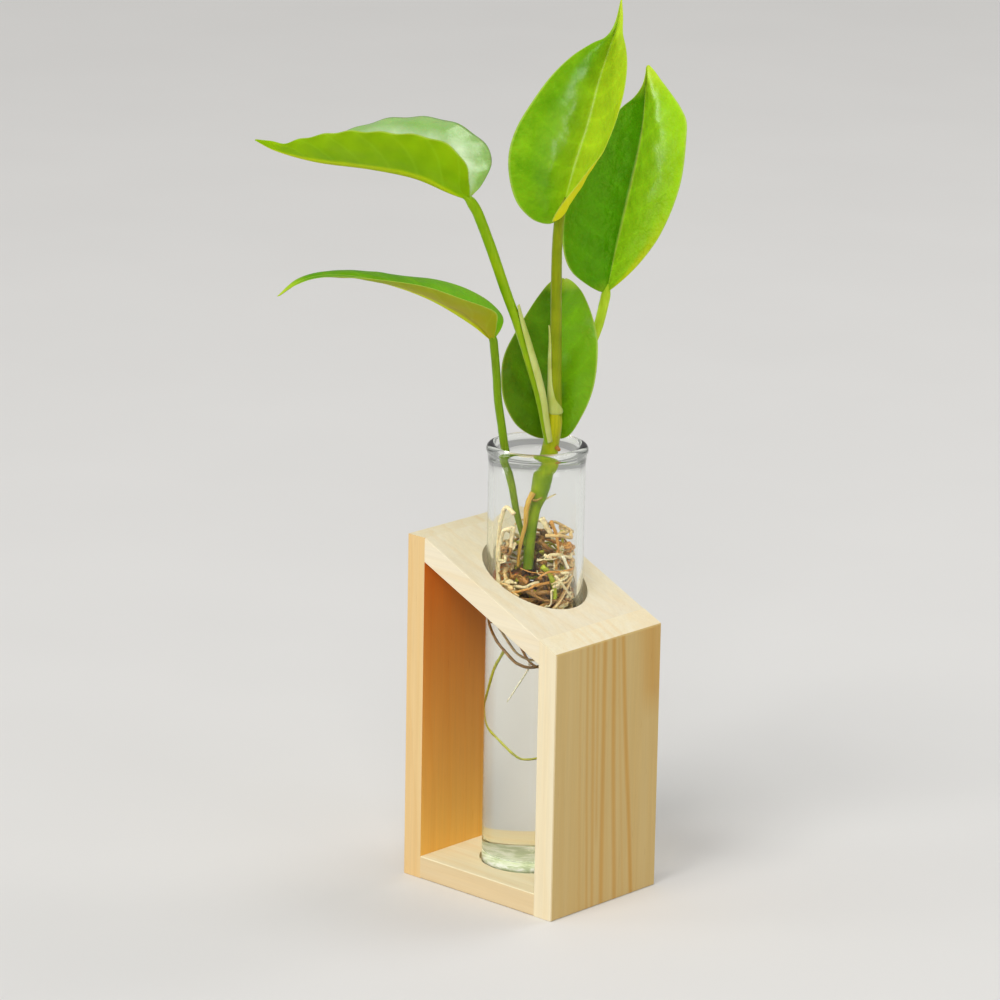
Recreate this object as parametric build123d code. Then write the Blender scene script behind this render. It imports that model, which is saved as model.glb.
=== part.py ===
from build123d import *

import os
from math import atan2, cos, pi, sin, tan

# A test tube vase: a wooden stand of four boards with a sloping top, a glass tube that drops
# through the slope, and a rooted leaf cutting that stands in the tube.
# Millimetres. Origin at the middle of the stand's underside, X along the open front face towards
# the short side, Y from the front to the back, Z up.

# Wooden stand
frame_width = 65.0
frame_depth = 50.0
tall_side_height = 115.0
short_side_height = 88.5
board_thickness = 7.5
board_arris = 0.3
recess_depth = 2.0

# Hidden dowels of the four joints
dowel_diameter = 2.5
dowel_length = 9.0
dowel_spacing = 28.0
dowel_fit = 0.05
dowel_end_room = 0.4

# Glass tube
tube_diameter = 31.0
tube_height = 141.0
tube_wall = 1.9
tube_base_thickness = 4.5
tube_foot_radius = 1.2
tube_floor_radius = 2.6
rim_bead_radius = 1.75
hole_clearance = 1.5
recess_clearance = 0.7

# Plant cutting
cutting_height = 140.0
root_depth = 106.0
stem_radius = 2.7
leaf_stalk_radius = 1.6
leaf_thickness = 0.5
root_radius = 0.7
root_count = 8
aerial_root_radius = 0.95
sheath_radius = 1.5

cut_overrun = 2.0

# Sizes that follow from the ones above
half_width = frame_width / 2
half_depth = frame_depth / 2
inner_half_width = half_width - board_thickness
slope = atan2(tall_side_height - short_side_height, frame_width - board_thickness)
slope_fall = tan(slope)
slope_board_height = board_thickness / cos(slope)
tube_radius = tube_diameter / 2
bore_radius = tube_radius - tube_wall
hole_radius = tube_radius + hole_clearance
recess_radius = tube_radius + recess_clearance
foot_height = board_thickness - recess_depth
mouth_height = foot_height + tube_height
mouth = Vector(0, 0, mouth_height)
full_turn = 2 * pi


def slope_height(x):
    """Height of the sloping upper face at a distance x from the middle."""
    return tall_side_height - (x + inner_half_width) * slope_fall


# Wooden stand


def dowel_places():
    """Distances of a joint's two dowels from the middle of the board's depth."""
    return (-dowel_spacing / 2, dowel_spacing / 2)


def base_dowel_axis(side, y):
    """Plane in the joint of the base board and a side board, looking out through the side board."""
    origin = Vector(side * inner_half_width, y, board_thickness / 2)
    return Plane(origin=origin, z_dir=Vector(side, 0, 0))


def top_dowel_axis(side, y):
    """Plane in the joint of the sloping board and a side board, looking along the slope."""
    x = side * inner_half_width
    origin = Vector(x, y, slope_height(x) - slope_board_height / 2)
    return Plane(origin=origin, z_dir=Vector(side * cos(slope), 0, -side * sin(slope)))


def dowel_planes(axis_of):
    return [axis_of(side, y) for side in (-1, 1) for y in dowel_places()]


def dowels(axis_of):
    return Compound(
        [plane * Cylinder(dowel_diameter / 2, dowel_length) for plane in dowel_planes(axis_of)]
    )


def dowel_holes(axis_of):
    """Round blind holes of one joint pair, a little wider and deeper than the dowels."""
    radius = dowel_diameter / 2 + dowel_fit
    length = dowel_length + 2 * dowel_end_room
    holes = [plane * Cylinder(radius, length) for plane in dowel_planes(axis_of)]
    return holes[0] + holes[1:]


def side_board(side, height_outside):
    """An upright board. Its outline is drawn on the front face and drawn out to the back."""
    inner = side * inner_half_width
    outer = side * half_width
    corners = [(inner, 0), (outer, 0), (outer, height_outside), (inner, slope_height(inner))]
    board = extrude(Plane.XZ * make_face(Polyline(*corners, close=True)), half_depth, both=True)
    rim = board.faces().sort_by(Axis.X)[-1 if side > 0 else 0]
    board = chamfer(rim.edges(), board_arris)
    return board - dowel_holes(base_dowel_axis) - dowel_holes(top_dowel_axis)


def base_board():
    board = Pos(0, 0, board_thickness / 2) * Box(2 * inner_half_width, frame_depth, board_thickness)
    board = chamfer(board.edges().filter_by(Axis.X), board_arris)
    recess = Pos(0, 0, foot_height + cut_overrun / 2 + recess_depth / 2) * Cylinder(
        recess_radius, recess_depth + cut_overrun
    )
    return board - recess - dowel_holes(base_dowel_axis)


def sloped_top_board():
    left = -inner_half_width
    right = inner_half_width
    outline = Polyline(
        (left, slope_height(left)),
        (right, slope_height(right)),
        (right, slope_height(right) - slope_board_height),
        (left, slope_height(left) - slope_board_height),
        close=True,
    )
    board = extrude(Plane.XZ * make_face(outline), half_depth, both=True)
    long_edges = [edge for edge in board.edges() if abs(edge.tangent_at(0.5).X) > sin(slope)]
    board = chamfer(long_edges, board_arris)
    hole = Pos(0, 0, tall_side_height / 2) * Cylinder(hole_radius, tall_side_height + cut_overrun)
    return board - hole - dowel_holes(top_dowel_axis)


# Glass tube


def corners_near(section, radius, height):
    """The corners of the tube's section at that radius and height."""
    near = tube_wall / 2
    return section.vertices().filter_by(lambda v: abs(v.X - radius) < near and abs(v.Y - height) < near)


def glass_tube():
    """A straight tube with a thick flat base and a rounded bead for a rim, turned about its axis."""
    bead_centre = mouth_height - rim_bead_radius
    floor_height = foot_height + tube_base_thickness
    wall_middle = tube_radius - tube_wall / 2
    outside = Polyline(
        (0, foot_height),
        (tube_radius, foot_height),
        (tube_radius, bead_centre),
        (bore_radius, bead_centre),
        (bore_radius, floor_height),
        (0, floor_height),
        close=True,
    )
    section = make_face(outside)
    section = fillet(corners_near(section, tube_radius, foot_height), tube_foot_radius)
    section = fillet(corners_near(section, bore_radius, floor_height), tube_floor_radius)
    section = section + Pos(wall_middle, bead_centre) * Circle(rim_bead_radius)
    return revolve(Plane.XZ * section, Axis.Z)


# Plant cutting


def above(x_share, y_share, z_share):
    """A place above the tube's mouth, in shares of the cutting's height."""
    return mouth + Vector(x_share, y_share, z_share) * cutting_height


def inside(x_share, y_share, drop_share):
    """A place in the tube: across in shares of the bore's radius, down in shares of the root depth."""
    return mouth + Vector(x_share * bore_radius, y_share * bore_radius, -drop_share * root_depth)


stalk_station_shares = (0.0, 0.17, 0.34, 0.5, 0.66, 0.83, 1.0)


def stalk(points, radii):
    """A round stalk along a smooth line through the points, with a radius at each station."""
    line = Spline(*points)
    rings = []
    for share, radius in zip(stalk_station_shares, radii):
        along = line % share
        plane = Plane(origin=line @ share, x_dir=along.cross(Vector(0, 1, 0)), z_dir=along)
        rings.append(Wire.make_circle(radius, plane))
    return Solid.make_loft(rings)


def tapered(start_radius, end_radius):
    return [start_radius + (end_radius - start_radius) * share for share in stalk_station_shares]


stem_radius_shares = (0.62, 0.62, 0.66, 0.98, 0.94, 1.05, 1.0)
stem_top = above(0.026, 0.024, 0.079)
stem_places = [inside(-0.065, -0.06, 0.402), inside(0.07, 0.06, 0.17), inside(0.32, 0.30, 0.014), stem_top]


def main_stem():
    return stalk(stem_places, [share * stem_radius for share in stem_radius_shares])


# Each leaf: where its blade starts and ends, which way its upper side looks, how wide, folded,
# arched and bent to the side it is, and where it is widest.
leaves = {
    "left_leaf": dict(
        base=above(-0.083, -0.135, 0.563),
        tip=above(-0.519, -0.398, 0.679),
        faces=Vector(0.19, 0.11, 0.98),
        width_share=0.32,
        fold_degrees=50.0,
        arch_share=0.01,
        bend_share=0.04,
        fullness=1.12,
        lobe_share=0.9,
    ),
    "drooping_leaf": dict(
        base=above(-0.041, -0.104, 0.249),
        tip=above(-0.359, -0.484, 0.354),
        faces=Vector(0.13, 0.16, 0.98),
        width_share=0.21,
        fold_degrees=32.0,
        arch_share=0.15,
        bend_share=0.0,
        fullness=0.75,
        lobe_share=0.8,
    ),
    "tall_leaf": dict(
        base=above(0.055, -0.008, 0.541),
        tip=above(0.067, 0.178, 1.011),
        faces=Vector(0.08, -0.93, 0.36),
        width_share=0.30,
        fold_degrees=32.0,
        arch_share=-0.035,
        bend_share=0.0,
        fullness=0.93,
        lobe_share=1.0,
    ),
    "right_leaf": dict(
        base=above(-0.008, 0.225, 0.315),
        tip=above(-0.001, 0.347, 0.829),
        faces=Vector(0.40, -0.89, 0.21),
        width_share=0.30,
        fold_degrees=34.0,
        arch_share=-0.035,
        bend_share=0.04,
        fullness=1.3,
        lobe_share=0.8,
    ),
    "small_leaf": dict(
        base=above(0.001, 0.067, 0.019),
        tip=above(-0.106, 0.194, 0.322),
        faces=Vector(0.54, -0.72, 0.44),
        width_share=0.34,
        fold_degrees=30.0,
        arch_share=0.22,
        bend_share=0.01,
        fullness=1.0,
        lobe_share=0.0,
    ),
}

# Along a blade: the station, the half width there, and how far the margins reach back towards the stalk
blade_station_shares = (0.0, 0.05, 0.14, 0.27, 0.40, 0.53, 0.65, 0.75, 0.83, 0.91, 1.0)
blade_width_shares = (0.10, 0.58, 0.88, 1.0, 0.96, 0.82, 0.60, 0.36, 0.16, 0.06, 0.02)
blade_lobe_shares = (0.40, 0.32, 0.20, 0.10, 0.06, 0.04, 0.03, 0.02, 0.01, 0.0, 0.0)
blade_bulge_share = 0.05


def share_between(shares, x):
    """The table's value at a place between its stations, on straight lines."""
    stations = blade_station_shares
    for left, right, low, high in zip(stations, stations[1:], shares, shares[1:]):
        if x <= right:
            return low + (high - low) * (x - left) / (right - left)
    return shares[-1]


def blade_section(middle, left, right):
    """A thin folded strip across the blade, as a closed wire in one plane."""
    lift = ((left + right) * 0.5 - middle).normalized() * leaf_thickness
    halves = []
    for start, end in ((left, middle), (middle, right)):
        bulge = lift.normalized() * (end - start).length * blade_bulge_share
        halves.append((start, (start + end) * 0.5 + bulge, end))
    under = [ThreePointArc(*points) for points in halves]
    over = [ThreePointArc(*[point + lift for point in points]) for points in halves]
    edges = [Line(left, left + lift), Line(right, right + lift)]
    return Wire([*under, edges[1], *over, edges[0]])


def blade(base, tip, faces, width_share, fold_degrees, arch_share, bend_share, fullness, lobe_share):
    """A leaf blade: folded sections along an arched midrib, joined smoothly."""
    chord = tip - base
    along = chord.normalized()
    up = (faces - along * faces.dot(along)).normalized()
    side = along.cross(up)
    middle = base + chord * 0.5 + (up * arch_share + side * bend_share) * chord.length
    midrib = Spline(base, middle, tip)
    fold = fold_degrees * pi / 180
    wires = []
    for share in blade_station_shares:
        place = midrib @ share
        tangent = midrib % share
        lift = side.cross(tangent).normalized()
        half = width_share * chord.length * share_between(blade_width_shares, share**fullness)
        back = tangent * (lobe_share * share_between(blade_lobe_shares, share) * half)
        raised = lift * (half * sin(fold)) - back
        across = side * (half * cos(fold))
        wires.append(blade_section(place, place - across + raised, place + across + raised))
    return Solid.make_loft(wires)


# Each leaf's stalk: where it starts on the stem, the places it passes, and its radius at both ends
leaf_stalks = {
    "left_leaf": dict(
        places=[inside(0.30, 0.26, -0.03), above(0.003, -0.026, 0.206), above(-0.026, -0.062, 0.337)],
        radius_shares=(1.25, 0.95),
    ),
    "drooping_leaf": dict(
        places=[
            inside(0.00, -0.02, 0.31),
            inside(-0.285, -0.47, 0.173),
            inside(-0.437, -0.707, 0.012),
            above(-0.046, -0.092, 0.12),
        ],
        radius_shares=(0.72, 0.68),
    ),
    "tall_leaf": dict(
        places=[stem_top, above(0.038, 0.018, 0.15), above(0.041, 0.006, 0.293)],
        radius_shares=(1.5, 0.95),
    ),
    "right_leaf": dict(
        places=[inside(0.16, 0.18, 0.13), inside(0.039, 0.784, 0.012), above(-0.012, 0.195, 0.185)],
        radius_shares=(0.85, 1.05),
    ),
    "small_leaf": dict(
        places=[inside(0.22, 0.22, 0.09), inside(0.042, 0.488, 0.017)],
        radius_shares=(0.65, 0.65),
    ),
}


def leaf_stalk(name):
    """The stalk from the stem to the start of its blade."""
    route = leaf_stalks[name]
    ends = [share * leaf_stalk_radius for share in route["radius_shares"]]
    return stalk([*route["places"], leaves[name]["base"]], tapered(*ends))


# The pale wings beside two stalks, each wide at the stem and running out to a point
sheath_routes = (
    [above(0.020, 0.016, 0.079), above(0.010, -0.014, 0.206), above(-0.016, -0.053, 0.332)],
    [above(0.018, 0.016, 0.085), above(0.026, 0.012, 0.16), above(0.030, 0.000, 0.281)],
)
sheath_tip_share = 0.2


def leaf_sheath(places):
    return stalk(places, tapered(sheath_radius, sheath_radius * sheath_tip_share))


# Roots: each leaves the stem at its own height and angle, nears the bore's wall and winds down it.
# All wind by the same angle for the same drop, so they never cross.
root_first_start_share = 0.39
root_last_start_share = 0.05
root_end_drop_shares = (0.47, 0.60, 0.50, 0.98, 0.55, 0.72, 0.52, 0.90)
root_first_angle_share = 0.9
root_twist_share = 0.25
root_run_shares = (0.15, 0.4, 0.7, 1.0)
root_spread_shares = (0.45, 0.84, 0.86, 0.80)


def root(index):
    climb = root_first_start_share + (root_last_start_share - root_first_start_share) * index / root_count
    start = Spline(*stem_places) @ climb
    first = (mouth_height - start.Z) / root_depth
    last = root_end_drop_shares[index % len(root_end_drop_shares)]
    places = [start]
    for run, spread in zip(root_run_shares, root_spread_shares):
        drop = first + (last - first) * run
        angle = full_turn * (root_first_angle_share + index / root_count + root_twist_share * drop)
        places.append(inside(spread * cos(angle), spread * sin(angle), drop))
    return stalk(places, tapered(root_radius, root_radius / 2))


def aerial_root():
    places = [inside(0.06, 0.02, 0.185), inside(0.07, -0.26, 0.24), inside(0.02, -0.46, 0.33)]
    return stalk(places, tapered(aerial_root_radius, aerial_root_radius / 2))


def wooden_stand():
    return {
        "base_board": base_board(),
        "tall_side_board": side_board(-1, tall_side_height),
        "short_side_board": side_board(1, short_side_height),
        "sloped_top_board": sloped_top_board(),
        "base_dowels": dowels(base_dowel_axis),
        "top_dowels": dowels(top_dowel_axis),
    }


def plant_cutting():
    """The stem first, then what grows from it, each cut to meet what came before."""
    stem = main_stem()
    blades = {name: blade(**sizes) for name, sizes in leaves.items()}
    stalks = {}
    for name in ("tall_leaf", "left_leaf", "drooping_leaf", "right_leaf", "small_leaf"):
        cut = leaf_stalk(name) - stem - blades[name]
        for earlier in stalks.values():
            cut = cut - earlier
        stalks[name] = cut
    sheaths = []
    for places in sheath_routes:
        sheaths.append(leaf_sheath(places) - stem - stalks["tall_leaf"] - stalks["left_leaf"])
    air_root = aerial_root() - stem - stalks["drooping_leaf"]
    roots = [root(index) - stem - air_root for index in range(root_count)]
    parts = {"main_stem": stem, "aerial_root": air_root}
    parts["root_bundle"] = Compound(roots)
    parts["leaf_sheaths"] = Compound(sheaths)
    for name in leaves:
        parts[name] = blades[name]
        parts[name + "_stalk"] = stalks[name]
    return parts


os.makedirs("parts", exist_ok=True)
for name, shape in {**wooden_stand(), "glass_tube": glass_tube(), **plant_cutting()}.items():
    export_step(shape, f"parts/{name}.step")
    print(name, round(shape.volume), len(shape.solids()), shape.is_valid)
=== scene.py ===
import math
import random

import bpy
from mathutils import Matrix, Vector, noise


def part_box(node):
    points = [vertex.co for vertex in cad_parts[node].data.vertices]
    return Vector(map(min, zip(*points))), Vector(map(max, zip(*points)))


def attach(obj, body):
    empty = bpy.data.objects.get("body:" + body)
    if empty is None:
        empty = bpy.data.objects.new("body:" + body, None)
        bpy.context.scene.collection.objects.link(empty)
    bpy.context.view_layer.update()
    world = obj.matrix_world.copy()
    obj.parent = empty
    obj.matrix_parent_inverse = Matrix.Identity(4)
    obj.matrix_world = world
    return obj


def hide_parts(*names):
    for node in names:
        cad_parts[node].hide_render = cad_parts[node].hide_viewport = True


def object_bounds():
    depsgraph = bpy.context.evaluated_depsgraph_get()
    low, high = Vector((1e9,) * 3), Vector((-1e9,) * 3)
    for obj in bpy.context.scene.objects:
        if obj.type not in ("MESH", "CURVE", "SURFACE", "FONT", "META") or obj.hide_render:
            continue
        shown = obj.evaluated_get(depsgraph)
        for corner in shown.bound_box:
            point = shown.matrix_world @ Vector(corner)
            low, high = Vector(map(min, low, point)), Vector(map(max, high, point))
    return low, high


# The looks of a test tube vase: a pine stand, a glass tube with water, and a rooted leaf cutting.
# Metres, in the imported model's frame: +X towards the short side, +Y to the back, +Z up.

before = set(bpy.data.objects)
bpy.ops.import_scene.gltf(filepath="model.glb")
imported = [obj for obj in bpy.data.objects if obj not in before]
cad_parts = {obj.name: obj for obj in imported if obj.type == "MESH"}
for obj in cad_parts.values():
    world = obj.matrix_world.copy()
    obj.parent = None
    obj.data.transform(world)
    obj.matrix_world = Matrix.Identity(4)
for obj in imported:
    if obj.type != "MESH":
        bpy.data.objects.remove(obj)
cad_low, cad_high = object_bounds()
chance = random.Random(11)
mm = 0.001

tube_low, tube_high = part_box("glass_tube")
tall_board_low, tall_board_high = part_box("tall_side_board")
short_board_low, short_board_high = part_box("short_side_board")

# Glass tube and its water
tube_radius = 15.5 * mm
tube_wall = 1.9 * mm
tube_base_thickness = 4.5 * mm
tube_foot_radius = 1.2 * mm
tube_floor_radius = 1.4 * mm
rim_bead_radius = 1.75 * mm
bead_on_wall = 0.75
bore_radius = tube_radius - tube_wall
flat_floor_radius = bore_radius - tube_floor_radius
foot_height = tube_low.z
foot_edge_height = foot_height + tube_foot_radius
floor_height = foot_height + tube_base_thickness
floor_edge_height = floor_height + tube_floor_radius
mouth_height = tube_high.z
water_overlap = 0.06 * mm
water_drop = 53.0 * mm
water_height = mouth_height - water_drop
meniscus_rise = 0.5 * mm
meniscus_width = 2.2 * mm
meniscus_curve = 2.4
calm_water_share = 0.4

# The hollow under the tube's foot, as shares of the tube's radius and heights, and the dish in its floor,
# as shares of the flat floor's radius and depths
foot_hollow = ((0.0, 0.5 * mm), (0.45, 0.4 * mm), (0.72, 0.0))
floor_dish = ((0.5, 0.3 * mm), (0.0, 0.4 * mm))

# The clouds in the foot, measured in from the glass around them
cloud_below = 0.9 * mm
cloud_above = 1.5 * mm
cloud_aside = 1.3 * mm
cloud_corner = 1.0 * mm
cloud_flat_inset = 1.6 * mm
cloud_shoulder_inset = 0.5 * mm
cloud_shoulder_drop = 0.6 * mm

# How finely the turned pieces are divided
glass_segments = 128
water_segments = 96
corner_steps = 8
cloud_corner_steps = 5
bead_steps = 28
wall_steps = 30
water_steps = 20

# Plant cutting
root_depth = 106.0 * mm
leaf_thickness = 0.5 * mm
aerial_root_radius = 0.95 * mm
aerial_root_tip = 0.45 * mm
mouth = Vector((0, 0, mouth_height))

# The photograph's camera
camera_place = Vector((1.0290, -1.1399, 0.5522))
camera_yaw_degrees = 42.505
camera_pitch_degrees = 15.458
camera_roll_degrees = 1.049
camera_lens = 180.0
camera_sensor = 36.0
picture_size = 1000.0


def camera_axes():
    """The camera's own right, up and ahead."""
    yaw = math.radians(camera_yaw_degrees)
    pitch = math.radians(camera_pitch_degrees)
    roll = math.radians(camera_roll_degrees)
    ahead = Vector((-math.sin(yaw) * math.cos(pitch), math.cos(yaw) * math.cos(pitch), -math.sin(pitch)))
    level = Vector((math.cos(yaw), math.sin(yaw), 0))
    up = level.cross(ahead)
    return level * math.cos(roll) + up * math.sin(roll), up * math.cos(roll) - level * math.sin(roll), ahead


camera_right, camera_up, camera_ahead = camera_axes()
camera_yaw = math.radians(camera_yaw_degrees)
view_right = Vector((math.cos(camera_yaw), math.sin(camera_yaw), 0))
view_away = Vector((-view_right.y, view_right.x, 0))


def seen(x, y, away):
    """The place seen at a pixel of the photograph, so many millimetres behind the tube's axis."""
    pixels = picture_size * camera_lens / camera_sensor
    middle = picture_size / 2
    ray = camera_ahead + camera_right * ((x - middle) / pixels) + camera_up * ((middle - y) / pixels)
    return camera_place + ray * ((away * mm - camera_place.dot(view_away)) / ray.dot(view_away))


def seen_line(*places):
    return [seen(*place) for place in places]


def inside(x_share, y_share, drop_share):
    """A place in the tube: across in shares of the bore's radius, down in shares of the root depth."""
    return mouth + Vector((x_share * bore_radius, y_share * bore_radius, -drop_share * root_depth))


def between(low, high, share):
    return low + (high - low) * share


def eased(stations, values, x):
    """A smooth value at x from a table, with no overshoot between its stations."""
    if x <= stations[0]:
        return values[0]
    if x >= stations[-1]:
        return values[-1]
    steps = [b - a for a, b in zip(stations, stations[1:])]
    slopes = [(b - a) / step for a, b, step in zip(values, values[1:], steps)]
    index = max(i for i, station in enumerate(stations) if station <= x and i < len(steps))

    def tangent(i):
        if i == 0 or i == len(slopes):
            return slopes[min(i, len(slopes) - 1)]
        left, right = slopes[i - 1], slopes[i]
        return 0.0 if left * right <= 0 else 2 * left * right / (left + right)

    t = (x - stations[index]) / steps[index]
    low, high = values[index], values[index + 1]
    start, end = tangent(index) * steps[index], tangent(index + 1) * steps[index]
    square, cube = t * t, t * t * t
    return (
        low * (2 * cube - 3 * square + 1)
        + start * (cube - 2 * square + t)
        + high * (3 * square - 2 * cube)
        + end * (cube - square)
    )


def smooth_line(points, steps):
    """Points along a smooth line through all the given points."""
    ends = [points[0] * 2 - points[1], *points, points[-1] * 2 - points[-2]]
    line = []
    for a, b, c, d in zip(ends, ends[1:], ends[2:], ends[3:]):
        for step in range(steps):
            t = step / steps
            place = b * 2 + (c - a) * t
            place = place + (a * 2 - b * 5 + c * 4 - d) * t * t
            place = place + (b * 3 - a - c * 3 + d) * t**3
            line.append(place * 0.5)
    return [*line, points[-1]]


def new_piece(name, vertices, faces, material, smooth=True):
    mesh = bpy.data.meshes.new(name)
    mesh.from_pydata([tuple(v) for v in vertices], [], faces)
    mesh.validate()
    if smooth:
        mesh.shade_smooth()
    for one in material if isinstance(material, (list, tuple)) else [material]:
        mesh.materials.append(one)
    piece = bpy.data.objects.new(name, mesh)
    bpy.context.scene.collection.objects.link(piece)
    return piece


def add_shape(vertices, faces, made, around):
    """Puts one more shape's vertices and faces after those already there."""
    faces += [tuple(len(vertices) + index for index in face) for face in around]
    vertices += made


def sheet_faces(columns, rows):
    """Faces of a thin closed sheet: two layers of points, columns across and rows along, and its rim.

    The second list says 1 for the faces of the second layer and 0 for all others.
    """
    count, last = columns * rows, (rows - 1) * columns
    faces, kinds = [], []
    for row in range(rows - 1):
        for column in range(columns - 1):
            a = row * columns + column
            b = a + columns
            faces += [(a, a + 1, b + 1, b), (count + a, count + b, count + b + 1, count + a + 1)]
            kinds += [0, 1]
    rim = [(row * columns, (row + 1) * columns) for row in range(rows - 1)]
    rim += [((row + 2) * columns - 1, (row + 1) * columns - 1) for row in range(rows - 1)]
    rim += [(column + 1, column) for column in range(columns - 1)]
    rim += [(last + column, last + column + 1) for column in range(columns - 1)]
    faces += [(a, b, count + b, count + a) for a, b in rim]
    return faces, kinds + [0] * len(rim)


def belong(piece, body, slot, *nodes):
    """The piece rides on a body and stands for the nodes, which it hides. slot is not used."""
    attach(piece, body)
    if nodes:
        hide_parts(*nodes)
    return piece


# Materials


class Shader:
    """One material, with short calls that add and link its nodes."""

    def __init__(self, name):
        self.material = bpy.data.materials.new(name)
        self.material.use_nodes = True
        self.tree = self.material.node_tree
        self.surface = self.tree.nodes["Principled BSDF"]
        self.output = self.tree.nodes["Material Output"]

    def put(self, socket, value):
        if isinstance(value, bpy.types.NodeSocket):
            self.tree.links.new(value, socket)
        else:
            socket.default_value = value

    def node(self, kind, inputs=(), **settings):
        made = self.tree.nodes.new(kind)
        for name, value in settings.items():
            setattr(made, name, value)
        for socket, value in dict(inputs).items():
            self.put(made.inputs[socket], value)
        return made

    def set(self, **inputs):
        for name, value in inputs.items():
            self.put(self.surface.inputs[name.replace("_", " ").title().replace("Ior", "IOR")], value)

    def sum(self, operation, a, b=0.0, c=0.0):
        return self.node("ShaderNodeMath", {0: a, 1: b, 2: c}, operation=operation).outputs[0]

    def place(self, kind="Object"):
        return self.node("ShaderNodeTexCoord").outputs[kind]

    def stretch(self, vector, scale):
        return self.node("ShaderNodeMapping", {"Vector": vector, "Scale": scale}).outputs[0]

    def place_in_mm(self):
        return self.stretch(self.place(), (1 / mm, 1 / mm, 1 / mm))

    def split(self, vector):
        return self.node("ShaderNodeSeparateXYZ", {0: vector}).outputs

    def noise(self, vector, scale, detail=2.0, roughness=0.5, distortion=0.0):
        inputs = {"Vector": vector, "Scale": scale, "Detail": detail, "Roughness": roughness}
        return self.node("ShaderNodeTexNoise", {**inputs, "Distortion": distortion}).outputs["Fac"]

    def ramp(self, factor, stops):
        """Colours at places from 0 to 1; a stop's colour is a grey value or three numbers."""
        made = self.node("ShaderNodeValToRGB", {"Fac": factor})
        elements = made.color_ramp.elements
        while len(elements) < len(stops):
            elements.new(0.5)
        for element, (place, colour) in zip(elements, sorted(stops, key=lambda stop: stop[0])):
            element.position = place
            element.color = (*((colour,) * 3 if isinstance(colour, float) else colour), 1.0)
        return made.outputs["Color"]

    def mix(self, factor, a, b, blend="MIX"):
        made = self.node("ShaderNodeMix", data_type="RGBA", blend_type=blend)
        for socket, value in ((made.inputs[0], factor), (made.inputs[6], a), (made.inputs[7], b)):
            if isinstance(value, tuple):
                value = (*value, 1.0)
            self.put(socket, value)
        return made.outputs[2]

    def times(self, a, b):
        return self.mix(1.0, a, b, "MULTIPLY")

    def bump(self, height, strength, distance):
        inputs = {"Height": height, "Strength": strength, "Distance": distance}
        return self.node("ShaderNodeBump", inputs).outputs[0]


early_wood = (0.88, 0.775, 0.545)
late_wood = (0.80, 0.52, 0.17)
fleck_wood = (0.62, 0.36, 0.14)
ring_profile = [(0.0, 0.10), (0.12, 0.0), (0.55, 0.10), (0.84, 0.42), (0.93, 0.72), (0.98, 0.15)]
ring_slant = 0.55
grain_wander = 1.6

# How fine each pattern of the wood is along the grain and across it
wander_scales = (0.012, 0.06)
fibre_scales = (0.035, 1.5)
streak_scales = (0.01, 0.32)
fleck_scales = (0.11, 2.4)


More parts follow.
